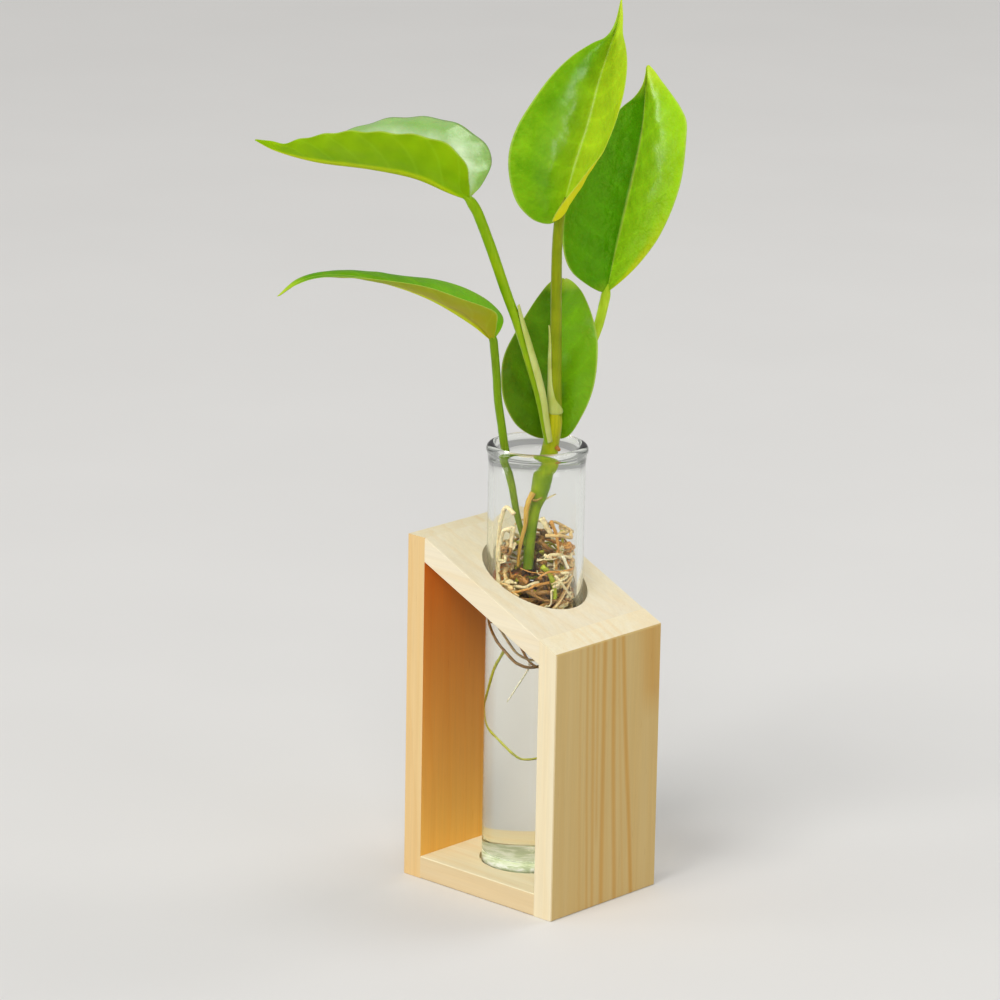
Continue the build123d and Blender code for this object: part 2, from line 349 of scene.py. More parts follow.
def pine(
    name, along, across, ring_width, lines=(), ends=(0.0, 1.0), contrast=1.0, shift=0.0,
    tint=(1.0, 1.0, 1.0), lit_top_tint=None, shaded_right_tint=None, shaded_right_low_tint=None,
):
    """Sanded softwood. Rings cross the board as lines along the grain, some at chosen places.

    along and across are the axes of the grain and of the board's width, ends the heights of its upper and
    lower end. A chosen line has its place across at the upper and at the lower end, its width, its strength,
    and how far down it reaches. lit_top_tint colours the faces that look up, as painted light.
    shaded_right_tint colours the one that looks along +X, as painted shade with warm bounce light, and
    shaded_right_low_tint its lower end.
    """
    s = Shader(name)
    place = s.place_in_mm()
    x, y, z = s.split(place)
    axes = {"X": x, "Y": y, "Z": z}
    thick = axes[({"X", "Y", "Z"} - {along, across}).pop()]
    facing_right, _, facing_up = s.split(s.place("Normal"))

    def drawn_out(along_scale, across_scale):
        return s.stretch(place, tuple(along_scale if axis == along else across_scale for axis in "XYZ"))

    drop = s.sum("DIVIDE", s.sum("SUBTRACT", ends[0], z), ends[0] - ends[1])
    wander = s.sum("SUBTRACT", s.noise(drawn_out(*wander_scales), 1.0, 2.0), 0.5)
    slanted = s.sum("MULTIPLY_ADD", thick, ring_slant, axes[across])
    ring = s.sum("MULTIPLY_ADD", wander, ring_width * grain_wander, slanted)
    turn = s.sum("FRACT", s.sum("DIVIDE", s.sum("ADD", ring, shift), ring_width))
    uneven = s.noise(s.stretch(ring, (0.21, 0.21, 0.21)), 1.0)
    uneven = s.ramp(uneven, [(0.35, 0.12 * contrast), (0.7, 0.75 * contrast)])
    late = s.times(s.ramp(turn, ring_profile), uneven)
    for high_place, low_place, width, strength, reach in lines:
        middle = s.sum("MULTIPLY_ADD", drop, low_place - high_place, high_place)
        wavering = s.sum("MULTIPLY_ADD", wander, grain_wander, axes[across])
        away = s.sum("ABSOLUTE", s.sum("SUBTRACT", wavering, middle))
        band = s.ramp(s.sum("DIVIDE", away, width), [(0.0, strength), (0.45, strength * 0.75), (1.0, 0.0)])
        band = s.times(band, s.ramp(drop, [(reach - 0.12, 1.0), (reach, 0.0)]))
        band = s.times(band, s.ramp(facing_up, [(0.2, 1.0), (0.4, 0.3)]))
        late = s.mix(1.0, late, band, "LIGHTEN")
    fibre = s.noise(drawn_out(*fibre_scales), 1.0, 3.0, 0.6)
    streak = s.noise(drawn_out(*streak_scales), 1.0, 2.0)
    fleck = s.ramp(s.noise(drawn_out(*fleck_scales), 1.0, 2.0), [(0.68, 0.0), (0.76, 0.4)])
    colour = s.mix(late, early_wood, late_wood)
    colour = s.times(colour, s.ramp(fibre, [(0.3, 0.95), (0.7, 1.02)]))
    colour = s.times(colour, s.ramp(streak, [(0.3, (0.985, 0.96, 0.90)), (0.7, (1.01, 1.02, 1.04))]))
    colour = s.mix(fleck, colour, fleck_wood)
    # Painted light on the faces that look up, and painted shade with warm bounce light on the face that looks
    # along +X, which may change from its upper to its lower end
    if lit_top_tint:
        tint = s.mix(s.ramp(facing_up, [(0.3, 0.0), (0.5, 1.0)]), tint, lit_top_tint)
    if shaded_right_tint:
        side = s.mix(s.ramp(drop, [(0.05, 0.0), (0.95, 1.0)]), shaded_right_tint, shaded_right_low_tint or shaded_right_tint)
        tint = s.mix(s.ramp(facing_right, [(0.6, 0.0), (0.8, 1.0)]), tint, side)
    colour = s.times(colour, tint)
    grit = s.noise(place, 2.6, 3.0, 0.7)
    height = s.sum("MULTIPLY_ADD", grit, 0.35, fibre)
    s.set(base_color=colour, specular_ior_level=0.25, normal=s.bump(height, 0.35, 0.10 * mm))
    s.put(s.surface.inputs["Roughness"], s.ramp(fibre, [(0.3, 0.52), (0.7, 0.68)]))
    return s.material


def turned_beech():
    s = Shader("beech_dowel")
    fibre = s.noise(s.stretch(s.place_in_mm(), (0.08, 1.6, 1.6)), 1.0, 3.0, 0.6)
    s.set(base_color=s.ramp(fibre, [(0.3, (0.50, 0.31, 0.17)), (0.7, (0.66, 0.46, 0.28))]), roughness=0.6)
    s.set(normal=s.bump(fibre, 0.3, 0.08 * mm))
    return s.material


def see_through(s, ior, tint, density, lamp_tint):
    """A clear body that bends and tints what is seen through it.

    It also lets lamps reach what is inside, as the real thing does. Without this it would lie in full shade.
    """
    s.set(base_color=(1.0, 1.0, 1.0, 1.0), roughness=0.0, ior=ior, transmission_weight=1.0)
    body = s.node("ShaderNodeVolumeAbsorption", {"Color": (*tint, 1.0), "Density": density})
    s.put(s.output.inputs["Volume"], body.outputs[0])
    shade = s.node("ShaderNodeLightPath").outputs["Is Shadow Ray"]
    clear = s.node("ShaderNodeBsdfTransparent", {"Color": (*lamp_tint, 1.0)})
    mixed = s.node("ShaderNodeMixShader", {0: shade, 1: s.surface.outputs[0], 2: clear.outputs[0]})
    s.put(s.output.inputs["Surface"], mixed.outputs[0])


def clear_glass():
    s = Shader("clear_glass")
    see_through(s, ior=1.47, tint=(0.60, 0.86, 0.50), density=18.0, lamp_tint=(0.90, 0.90, 0.88))
    drawn = s.noise(s.stretch(s.place(), (90.0, 90.0, 14.0)), 1.0, 1.0)
    s.set(specular_tint=(0.4, 0.4, 0.4, 1.0), normal=s.bump(drawn, 0.25, 0.05 * mm))
    return s.material


def still_water():
    s = Shader("water")
    see_through(s, ior=1.333, tint=(0.95, 0.78, 0.42), density=9.0, lamp_tint=(0.96, 0.96, 0.94))
    return s.material


def leaf_coordinates(s, veins):
    """Along the blade, distance from the midrib from 0 to 1, and where between two side veins."""
    u, v, _ = s.split(s.place("UV"))
    side = s.sum("ABSOLUTE", s.sum("MULTIPLY_ADD", v, 2.0, -1.0))
    bent = s.sum("MULTIPLY", s.sum("POWER", side, vein_bend), vein_sweep)
    phase = s.sum("FRACT", s.sum("SUBTRACT", s.sum("MULTIPLY", u, veins), bent))
    return u, v, side, phase


even_sheen = ((0.0, 1.0), (1.0, 1.0))
pale_edge = (0.48, 0.66, 0.12)
yellow_edge = (0.60, 0.70, 0.005)
light_rib = (0.58, 0.76, 0.10)
light_tip = (0.62, 0.76, 0.05)
light_base = (0.42, 0.55, 0.02)
under_rib = (0.60, 0.72, 0.01)
under_edge = (0.50, 0.62, 0.12)
brown_fleck = (0.32, 0.15, 0.03)
blister_relief = 0.9 * mm
leaf_depth = 1.2 * mm


def leaf_upper(
    name, veins, deep, fresh, right=None, change=(0.497, 0.512), gloss=0.30, sheen=0.3,
    sheen_across=even_sheen, sheen_along=even_sheen, sheen_roughness=0.22, rib=0.7, edge=pale_edge,
    edge_start=0.965, relief=0.55, yellow_reach=0.0,
):
    """Waxy upper side: a light midrib in a groove, faint side veins, a pale edge, and a soft gloss.

    right is a lighter colour for the half on the midrib's right, painted light for the lit half, and change
    where across the blade it takes over.
    sheen is the gloss, with its shares at places across and along the blade. rib is how light the midrib is,
    edge the margin's colour, and yellow_reach how far up the blade its right margin is yellow.
    """
    s = Shader(name)
    u, v, side, phase = leaf_coordinates(s, veins)
    place = s.place_in_mm()
    patches = s.noise(place, 0.10, 3.0, 0.6)
    patchy = s.ramp(patches, [(0.32, 0.0), (0.68, 1.0)])
    colour = s.mix(patchy, deep, fresh)
    # Painted light: the half on the midrib's right gets a lighter colour, as if lit
    if right:
        other = s.mix(patchy, tuple(channel * 0.82 for channel in right), right)
        colour = s.mix(s.ramp(v, [(change[0], 0.0), (change[1], 1.0)]), colour, other)
    shade = s.ramp(phase, [(0.0, 1.10), (0.10, 1.0), (0.5, 0.92), (0.9, 1.0), (1.0, 1.10)])
    veined = s.ramp(side, [(0.05, 1.0), (0.75, 0.7), (0.95, 0.0)])
    colour = s.mix(veined, colour, s.times(colour, shade))
    if yellow_reach:
        low = s.ramp(u, [(0.0, 0.95), (yellow_reach * 0.5, 0.9), (yellow_reach, 0.0)])
        colour = s.mix(s.times(s.ramp(v, [(0.86, 0.0), (0.95, 1.0)]), low), colour, yellow_edge)
    colour = s.mix(s.ramp(side, [(0.0, rib), (0.016, rib * 0.7), (0.034, 0.0)]), colour, light_rib)
    colour = s.mix(s.ramp(side, [(edge_start, 0.0), (min(edge_start + 0.2, 0.99), 0.65)]), colour, edge)
    colour = s.mix(s.ramp(u, [(0.84, 0.0), (0.98, 0.7)]), colour, light_tip)
    colour = s.mix(s.ramp(u, [(0.0, 0.45), (0.08, 0.0)]), colour, light_base)
    cells = s.noise(place, 1.6, 3.0, 0.6)
    blisters = s.noise(place, 0.42, 2.0, 0.5)
    height = s.sum("MULTIPLY_ADD", cells, 0.10, blisters)
    s.set(base_color=colour, normal=s.bump(height, relief, blister_relief))
    s.set(specular_ior_level=0.45, specular_tint=(0.55, 0.85, 0.12, 1.0), coat_roughness=sheen_roughness)
    s.set(coat_ior=1.5, subsurface_weight=0.10, subsurface_scale=leaf_depth)
    lit = s.times(s.ramp(v, list(sheen_across)), s.ramp(u, list(sheen_along)))
    lit = s.times(lit, s.ramp(blisters, [(0.35, 0.75), (0.6, 1.0)]))
    s.put(s.surface.inputs["Coat Weight"], s.sum("MULTIPLY", lit, sheen))
    s.put(s.surface.inputs["Roughness"], s.ramp(patches, [(0.3, gloss), (0.7, gloss + 0.14)]))
    return s.material


def leaf_under(name, veins, deep, fresh, blush_and_shade=None):
    """Matt underside: a raised light midrib and side veins that just stand out.

    blush_and_shade is the colour of the inner part near the base: a browner olive, partly the leaf's own tone
    and partly painted shade of the shaded underside, with a darker band of painted shade across it along a
    crease.
    """
    s = Shader(name)
    u, v, side, phase = leaf_coordinates(s, veins)
    place = s.place_in_mm()
    patches = s.noise(place, 0.11, 3.0, 0.55)
    colour = s.mix(s.ramp(patches, [(0.3, 0.0), (0.7, 1.0)]), deep, fresh)
    # A browner olive near the base, partly the leaf's tone and partly painted shade
    if blush_and_shade:
        inner = s.ramp(side, [(0.45, 1.0), (0.98, 0.35)])
        inner = s.times(inner, s.ramp(u, [(0.0, 1.0), (0.45, 0.85), (0.65, 0.0)]))
        colour = s.mix(inner, colour, blush_and_shade)
        # Painted shade: a darker band along a crease of the blade
        crease = s.sum("ABSOLUTE", s.sum("SUBTRACT", side, s.sum("MULTIPLY_ADD", u, 0.75, 0.12)))
        crease_shade = s.times(s.ramp(crease, [(0.0, 0.55), (0.06, 0.0)]), s.ramp(u, [(0.32, 1.0), (0.42, 0.0)]))
        colour = s.mix(crease_shade, colour, tuple(channel * 0.45 for channel in blush_and_shade))
    vein = s.ramp(phase, [(0.0, 0.16), (0.10, 0.0), (0.90, 0.0), (1.0, 0.16)])
    colour = s.mix(vein, colour, tuple(min(1.0, 1.3 * channel + 0.03) for channel in fresh))
    colour = s.mix(s.ramp(side, [(0.0, 0.9), (0.05, 0.75), (0.13, 0.0)]), colour, under_rib)
    colour = s.mix(s.ramp(side, [(0.965, 0.0), (0.99, 0.5)]), colour, under_edge)
    cells = s.noise(place, 2.6, 2.0, 0.6)
    s.set(base_color=colour, roughness=0.6, specular_ior_level=0.12, specular_tint=(0.7, 0.9, 0.15, 1.0))
    s.set(normal=s.bump(s.sum("MULTIPLY_ADD", vein, 0.5, cells), 0.25, 0.12 * mm))
    s.set(subsurface_weight=0.12, subsurface_scale=leaf_depth)
    return s.material


def stalk_skin(name, low, high, brown=0.0, streak_strength=0.5, upper=None):
    """Smooth green skin with fine streaks along the stalk, and brown flecks where asked.

    upper is the colour above the tube's mouth.
    """
    s = Shader(name)
    place = s.place_in_mm()
    streaks = s.noise(s.stretch(place, (1.5, 1.5, 0.06)), 1.0, 3.0, 0.6)
    patches = s.noise(place, 0.12, 2.0)
    colour = s.mix(s.ramp(patches, [(0.35, 0.0), (0.65, 1.0)]), low, high)
    if upper:
        rise = s.sum("MULTIPLY_ADD", s.split(place)[2], 0.05, 0.5 - 0.05 * mouth_height / mm)
        colour = s.mix(s.ramp(rise, [(0.25, 0.0), (0.75, 1.0)]), colour, upper)
    dark = tuple(channel * (1 - 0.35 * streak_strength) for channel in low)
    colour = s.mix(s.ramp(streaks, [(0.48, 0.0), (0.75, streak_strength)]), colour, dark)
    if brown:
        spots = s.ramp(s.noise(place, 0.55, 3.0, 0.6), [(0.62, 0.0), (0.72, brown)])
        colour = s.mix(spots, colour, brown_fleck)
    s.set(base_color=colour, roughness=0.38, specular_ior_level=0.45, specular_tint=(0.7, 0.9, 0.2, 1.0))
    s.set(subsurface_weight=0.12, subsurface_scale=1.5 * mm, normal=s.bump(streaks, 0.25, 0.10 * mm))
    return s.material


def root_skin():
    """Wet root skin. Each strand has its own colour, kept with its mesh."""
    s = Shader("root_skin")
    tone = s.node("ShaderNodeAttribute", attribute_name="strand_colour").outputs["Color"]
    mottle = s.noise(s.place_in_mm(), 0.8, 4.0, 0.65)
    colour = s.times(tone, s.ramp(mottle, [(0.3, 0.66), (0.5, 1.0), (0.75, 1.2)]))
    s.set(base_color=colour, roughness=0.42, specular_ior_level=0.5, subsurface_weight=0.1)
    s.set(subsurface_scale=0.8 * mm, normal=s.bump(mottle, 0.5, 0.12 * mm))
    return s.material


# Wooden stand


def dress_the_stand():
    short_lines = [
        (-13.6, -11.8, 0.9, 0.30, 1.2), (-10.3, -8.3, 0.9, 0.50, 1.2), (-7.5, -5.7, 1.1, 0.60, 1.2),
        (-5.4, -3.9, 0.9, 0.45, 0.8), (-2.1, -1.3, 1.5, 0.75, 1.2), (2.1, 5.1, 1.5, 0.75, 1.2),
        (6.4, 13.1, 1.4, 0.80, 1.2), (4.6, 9.0, 0.8, 0.30, 1.2), (20.0, 26.0, 7.3, 0.62, 0.38),
    ]
    tall_ends = (tall_board_high.z / mm, tall_board_low.z / mm)
    short_ends = (short_board_high.z / mm, short_board_low.z / mm)
    # The tints on faces that look up are painted light. The tints on the +X faces are painted shade with warm
    # bounce light: on the short side on its outer face, on the tall side on its inner face, darkest and most
    # orange at the top, under the sloped board.
    wood = {
        "short_side_board": pine(
            "pine_short_side", "Z", "Y", 7.0, short_lines, short_ends, contrast=0.25, shift=1.0,
            lit_top_tint=(1.04, 1.06, 1.10), shaded_right_tint=(0.70, 0.575, 0.335),
        ),
        "tall_side_board": pine(
            "pine_tall_side", "Z", "Y", 7.5, ends=tall_ends, contrast=0.7, shift=3.0, tint=(0.92, 0.74, 0.50),
            lit_top_tint=(1.04, 1.05, 1.08), shaded_right_tint=(0.84, 0.21, 0.015), shaded_right_low_tint=(1.14, 0.72, 0.21),
        ),
        "sloped_top_board": pine(
            "pine_top", "X", "Y", 9.5, contrast=0.45, shift=4.0, tint=(0.99, 1.01, 1.08),
        ),
        "base_board": pine(
            "pine_base", "X", "Y", 8.0, contrast=0.6, shift=1.0, tint=(0.88, 0.79, 0.67),
            lit_top_tint=(1.03, 1.08, 1.07),
        ),
    }
    beech = turned_beech()
    wood.update({"base_dowels": beech, "top_dowels": beech})
    for node, material in wood.items():
        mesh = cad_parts[node].data
        mesh.materials.clear()
        mesh.materials.append(material)


# Glass tube and water


def arc(centre_radius, centre_height, radius, start_degrees, end_degrees, steps):
    """Points of a round corner in a profile, as (distance from the axis, height)."""
    points = []
    for step in range(steps + 1):
        angle = math.radians(between(start_degrees, end_degrees, step / steps))
        points.append((centre_radius + radius * math.cos(angle), centre_height + radius * math.sin(angle)))
    return points


def lathe(name, profile, segments, material):
    """A closed piece turned about the tube's axis. The profile runs from axis to axis, lower end first."""
    rings = profile[1:-1]
    vertices = [(0, 0, profile[0][1])]
    for radius, height in rings:
        for segment in range(segments):
            angle = math.tau * segment / segments
            vertices.append((radius * math.cos(angle), radius * math.sin(angle), height))
    vertices.append((0, 0, profile[-1][1]))
    last = len(vertices) - 1
    faces = []
    for segment in range(segments):
        after = (segment + 1) % segments
        faces.append((0, 1 + after, 1 + segment))
        for ring in range(len(rings) - 1):
            low = 1 + ring * segments
            high = low + segments
            faces.append((low + segment, low + after, high + after, high + segment))
        top = 1 + (len(rings) - 1) * segments
        faces.append((top + segment, top + after, last))
    return new_piece(name, vertices, faces, material)


def wall_heights(low, high, count):
    return [between(low, high, step / count) for step in range(1, count)]


def glass_tube():
    bead_height = mouth_height - rim_bead_radius
    wall_middle = tube_radius - tube_wall / 2
    flat_foot_radius = tube_radius - tube_foot_radius
    outer_reach = math.degrees(math.asin(bead_on_wall * tube_wall / rim_bead_radius))
    profile = [(tube_radius * share, foot_height + lift) for share, lift in foot_hollow]
    profile += arc(flat_foot_radius, foot_edge_height, tube_foot_radius, -90, 0, corner_steps)
    profile += [(tube_radius, z) for z in wall_heights(foot_edge_height, bead_height, wall_steps)]
    profile += arc(wall_middle, bead_height, rim_bead_radius, outer_reach - 90, 270 - outer_reach, bead_steps)
    profile += [(bore_radius, z) for z in wall_heights(bead_height, floor_edge_height, wall_steps)]
    profile += arc(flat_floor_radius, floor_edge_height, tube_floor_radius, 0, -90, corner_steps)
    profile += [(flat_floor_radius * share, floor_height - drop) for share, drop in floor_dish]
    piece = lathe("glass_tube_blown", profile, glass_segments, clear_glass())
    return belong(piece, "tube", "clear_glass", "glass_tube")


def cloudy_foot():
    """The pale green clouds in the tube's thick foot."""
    low, high = foot_height + cloud_below, floor_height - cloud_above
    wide = tube_radius - cloud_aside
    profile = [(0, low), (wide - cloud_flat_inset, low)]
    profile += arc(wide - cloud_corner, low + cloud_corner, cloud_corner, -70, 0, cloud_corner_steps)
    profile += [(wide, high - cloud_shoulder_drop), (wide - cloud_shoulder_inset, high), (0, high)]
    s = Shader("cloudy_glass")
    clouds = s.noise(s.stretch(s.place_in_mm(), (1.0, 1.0, 3.0)), 0.16, 3.0, 0.55, 1.6)
    tones = [(0.38, (0.45, 0.51, 0.30)), (0.50, (0.66, 0.70, 0.53)), (0.60, (0.80, 0.81, 0.72))]
    s.set(base_color=s.ramp(clouds, tones), roughness=0.5, ior=1.3)
    return belong(lathe("tube_foot_clouds", profile, water_segments, s.material), "tube", "clear_glass")


def water_column():
    """Water up to its level, drawn up a little at the wall."""
    radius = bore_radius + water_overlap
    low = floor_height - water_overlap
    profile = [(flat_floor_radius * share, low - drop) for share, drop in reversed(floor_dish)]
    profile += [(flat_floor_radius, low)]
    corner = tube_floor_radius + water_overlap
    profile += arc(flat_floor_radius, floor_edge_height, corner, -80, 0, corner_steps)
    profile += [(radius, z) for z in wall_heights(floor_edge_height, water_height, water_steps)]
    profile += [(radius, water_height + meniscus_rise)]
    for step in range(1, corner_steps + 1):
        share = step / corner_steps
        rise = meniscus_rise * (1 - share) ** meniscus_curve
        profile.append((bore_radius - meniscus_width * share, water_height + rise))
    profile += [(bore_radius * calm_water_share, water_height), (0, water_height)]
    return belong(lathe("water_in_tube", profile, water_segments, still_water()), "tube", "clear_glass")


# Leaves
# Each blade hangs between three lines from its base to its tip. They are given by the pixels at which
# the photograph shows them: the midrib with millimetres behind the tube's axis, and the margins with
# millimetres nearer than the midrib. Left and right are seen from the upper side, with the tip ahead.
# bows are the swell of the left and of the right half at the base and at the tip, as shares of its width.
# ripple is the height of the margin's waves in millimetres and their number, and veins how many side
# veins each half has.

leaves = {
    "left_leaf": dict(
        midrib=[
            (470, 198, -6), (450, 191, -5.5), (415, 176.5, -3), (370, 167.5, 1), (318, 161, 5.5),
            (278, 150.5, 8), (253, 138.5, 9),
        ],
        left=[
            (469.3, 184, 4), (467, 167, 9), (452, 147, 12), (425, 136.3, 13), (390, 132.5, 13),
            (350, 131, 10.5), (320, 134.7, 6.5), (300, 139, 4), (284, 143, 2), (270, 141, 1),
        ],
        right=[
            (480, 187, -4), (489, 172, -8), (492, 160, -11), (488, 148, -13), (478, 136.5, -13.5),
            (460, 125, -13.5), (440, 118.5, -13), (415, 116.6, -12.5), (385, 119, -11), (350, 129.5, -8),
            (318, 141, -5), (285, 145, -2),
        ],
        bows=((-0.06, -0.04), (0.10, 0.06)), ripple=(0.35, 9.0), veins=8.0,
    ),
    "drooping_leaf": dict(
        midrib=[
            (494, 340, -7), (470, 321, -8.5), (430, 297.8, -10.5), (385, 282, -12.5), (340, 275, -14),
            (305, 279, -15.5), (275, 298, -16.5),
        ],
        left=[
            (496.5, 326, 6), (496.5, 313.5, 11), (483, 306, 14), (460, 298, 15), (432, 288.7, 14.5),
            (405, 283, 12.5), (375, 279, 9), (345, 277, 4.5), (315, 278.6, 2), (292, 287, 0.7),
        ],
        right=[
            (501.5, 328, -4), (503.3, 318.5, -8), (498, 309.5, -12), (487, 299.5, -14.5), (472, 291, -15.5),
            (455, 284.5, -15.5), (432, 279, -15), (405, 275.8, -13.5), (375, 272, -11), (345, 270.5, -8),
            (318, 272.5, -5), (296, 279.5, -2),
        ],
        bows=((-0.08, -0.04), (0.06, 0.06)), ripple=(0.1, 3.0), veins=8.0,
    ),
    "tall_leaf": dict(
        midrib=[
            (560.5, 217, -6), (568, 189, -4.5), (579, 152, -1), (590, 117, 2.5), (599, 82, 6), (609, 50, 8.5),
            (618, 22, 10.5), (621.5, -4, 12),
        ],
        left=[
            (552, 223.5, 1.5), (541, 223, 3), (529, 217, 5), (516, 201.5, 7), (509.3, 178, 8.5),
            (509, 153, 9), (516.5, 128, 8.5), (531, 103, 8), (550, 77, 7), (571, 57, 6), (592, 43.5, 4),
            (606, 36.5, 2), (615, 22, 0.8),
        ],
        right=[
            (553, 222, 4), (557, 212, 9), (566, 198, 14), (577, 184, 17), (590, 168, 18.5), (603, 153, 18.5),
            (613, 131, 18), (619.5, 109, 17), (624, 88, 15), (627, 65, 12), (626.5, 48, 8), (623.5, 33, 4),
            (623, 14, 1.5),
        ],
        bows=((0.08, 0.06), (-0.30, 0.10)), ripple=(0.25, 2.5), veins=9.0,
    ),
    "right_leaf": dict(
        midrib=[
            (606.5, 293, 24), (612, 267, 25.5), (618.5, 238, 27.5), (626, 206, 30), (633, 176, 32),
            (639, 148, 33.5), (643, 122, 34.5), (645, 97, 35.2), (647, 63, 36),
        ],
        left=[
            (598, 291, 2), (585, 283.5, 4), (572, 272.5, 6), (565, 258, 8), (562.5, 238, 9),
            (563.5, 215, 9.5), (568, 190, 9.5), (577, 165, 9), (590, 143, 8), (606, 124, 7),
            (621, 107.5, 5), (634, 97, 3.5), (642, 86, 2), (645.5, 74, 0.8),
        ],
        right=[
            (612, 289, 2), (622, 281, 4.5), (635, 268, 7.5), (648, 252.5, 10.5), (660, 235.5, 12.5),
            (671, 213, 14), (679, 188, 14.5), (683.5, 165, 14.5), (686.5, 140, 14), (687, 122, 12.5),
            (681, 108, 10), (672, 95, 7), (662, 81.5, 4), (654, 70, 1.5),
        ],
        bows=((0.08, 0.05), (-0.04, 0.12)), ripple=(0.2, 3.0), veins=9.0,
    ),
    "small_leaf": dict(
        midrib=[
            (552, 437, 7), (551, 400, 6.5), (549, 360, 9), (552, 320, 16), (558, 295, 23), (565, 277.5, 29),
        ],
        left=[
            (541, 438.5, 0.5), (528, 433.7, 1.5), (516, 424.7, 3), (507.5, 411, 5), (502.6, 396, 6.5),
            (501.3, 378, 7), (502.3, 363, 7), (506, 350, 7), (513.6, 335, 6.5), (525.7, 315, 5.5),
            (538, 296.4, 4), (551.5, 281, 1.5),
        ],
        right=[
            (562, 438.5, 0.5), (571, 433.6, 1.5), (579.5, 420.7, 3.5), (588, 403.6, 5.5), (593.8, 386, 7),
            (597.2, 365, 8), (598, 343.6, 8), (595.8, 329, 7.5), (592, 315, 6.5), (586.5, 300.7, 5),
            (580.8, 290, 3), (572.5, 281.4, 1),
        ],
        bows=((0.06, 0.04), (0.06, 0.04)), ripple=(0.15, 2.0), veins=7.0,
    ),
}

blade_steps = 96
blade_half_steps = 22
curve_steps = 24
least_half_width = 0.01 * mm
narrow_half_width = 0.3 * mm
vein_sweep = 1.7
vein_bend = 1.35
vein_relief = 0.16 * mm
rough_size = 5.0 * mm
rough_relief = 0.35 * mm
rib_groove = 0.30 * mm
rib_ridge = 0.75 * mm
rib_width = 0.7 * mm

# Half widths from which a blade has its full relief, ripple and thickness
full_relief_width = 8.0 * mm
full_ripple_width = 5.0 * mm
full_thickness_width = 4.0 * mm


def even_line(places, count):
    """Points at even distances along a smooth line through the places."""
    fine = smooth_line(places, curve_steps)
    runs = [0.0]
    for a, b in zip(fine, fine[1:]):
        runs.append(runs[-1] + (b - a).length)
    points, index = [], 0
    for step in range(count + 1):
        run = runs[-1] * step / count
        while index < len(runs) - 2 and runs[index + 1] < run:
            index += 1
        share = (run - runs[index]) / (runs[index + 1] - runs[index])
        points.append(fine[index].lerp(fine[index + 1], share))
    return points


def blade_lines(shape):
    """The midrib, the left margin and the right margin, as points at the same shares of each."""
    midrib = even_line(seen_line(*shape["midrib"]), blade_steps)
    lines = [midrib]
    for side in ("left", "right"):
        places = shape[side]
        margin = [midrib[0]]
        for index, (x, y, nearer) in enumerate(places):
            abreast = midrib[round(blade_steps * (index + 1) / (len(places) + 1))].dot(view_away) / mm
            margin.append(seen(x, y, abreast - nearer))
        lines.append(even_line([*margin, midrib[-1]], blade_steps))
    return lines


def half_row(shape, u, ahead, midrib, edge, sign):
    """Points from the midrib to one margin, with the upper side's direction. sign is -1 on the left."""
    bow = between(*shape["bows"][sign > 0], u)
    height, waves = shape["ripple"]
    across = edge - midrib
    half = max(across.length, least_half_width)
    up = (across.cross(ahead) * sign).normalized() if half > narrow_half_width else camera_ahead * -1
    points = []
    for column in range(blade_half_steps + 1):
        reach = (column / blade_half_steps) ** 0.9
        phase = (u * shape["veins"] - vein_sweep * reach**vein_bend) % 1.0
        fade = min(1.0, 6 * reach) * (1 - reach**4) * min(1.0, half / full_relief_width)
        quilt = vein_relief * (math.sin(math.pi * phase) ** 0.8 - 0.6) * fade
        spot = (midrib + across * reach) / rough_size + Vector((0, 0, sign * 3))
        rough = noise.noise(spot) * rough_relief * fade
        ripple = height * mm * math.sin(math.tau * waves * u + sign) * reach**3
        ripple *= min(1.0, half / full_ripple_width)
        lift = bow * half * 4 * reach * (1 - reach) + quilt + rough + ripple
        points.append((midrib + across * reach + up * lift, up, half, reach))
    return points


def blade_row(shape, lines, step):
    """Points across the blade from its left to its right margin, with the upper side's direction."""
    midrib, left, right = (line[step] for line in lines)
    ahead = (lines[0][min(step + 1, blade_steps)] - lines[0][max(step - 1, 0)]).normalized()
    first = half_row(shape, step / blade_steps, ahead, midrib, left, -1)
    second = half_row(shape, step / blade_steps, ahead, midrib, right, 1)
    middle_up = (first[0][1] + second[0][1]).normalized()
    centre = len(first) - 1
    row = []
    for index, (point, up, half, reach) in enumerate(list(reversed(first)) + second[1:]):
        weight = min(1.0, abs(index - centre) / 3)
        row.append((point, middle_up.lerp(up, weight).normalized(), half, reach, index - centre))
    return row


def blade(name, upper, under):
    """A closed thin blade: upper sheet, lower sheet with its raised midrib, and the margin between."""
    shape = leaves[name]
    lines = blade_lines(shape)
    rows = [blade_row(shape, lines, step) for step in range(1, blade_steps)]
    vertices, coordinates = [], []
    for layer in (1, -1):
        for step, row in enumerate(rows, 1):
            u = step / blade_steps
            for point, up, half, reach, place in row:
                thick = leaf_thickness * (0.62 - 0.42 * reach**3)
                thick *= min(1.0, 0.25 + half / full_thickness_width)
                rib = math.exp(-((reach * half / rib_width) ** 2)) * (1 - 0.7 * u)
                offset = thick / 2 - rib * rib_groove if layer > 0 else -thick / 2 - rib * rib_ridge
                vertices.append(point + up * offset)
                coordinates.append((u, 0.5 + math.copysign(reach, place) / 2))
    faces, kinds = sheet_faces(len(rows[0]), len(rows))
    piece = new_piece(name + "_blade", vertices, faces, [upper, under])
    sheet = piece.data.uv_layers.new(name="blade")
    for loop in piece.data.loops:
        sheet.data[loop.index].uv = coordinates[loop.vertex_index]
    piece.data.polygons.foreach_set("material_index", kinds)
    return belong(piece, "cutting", "plant_leaf", name)
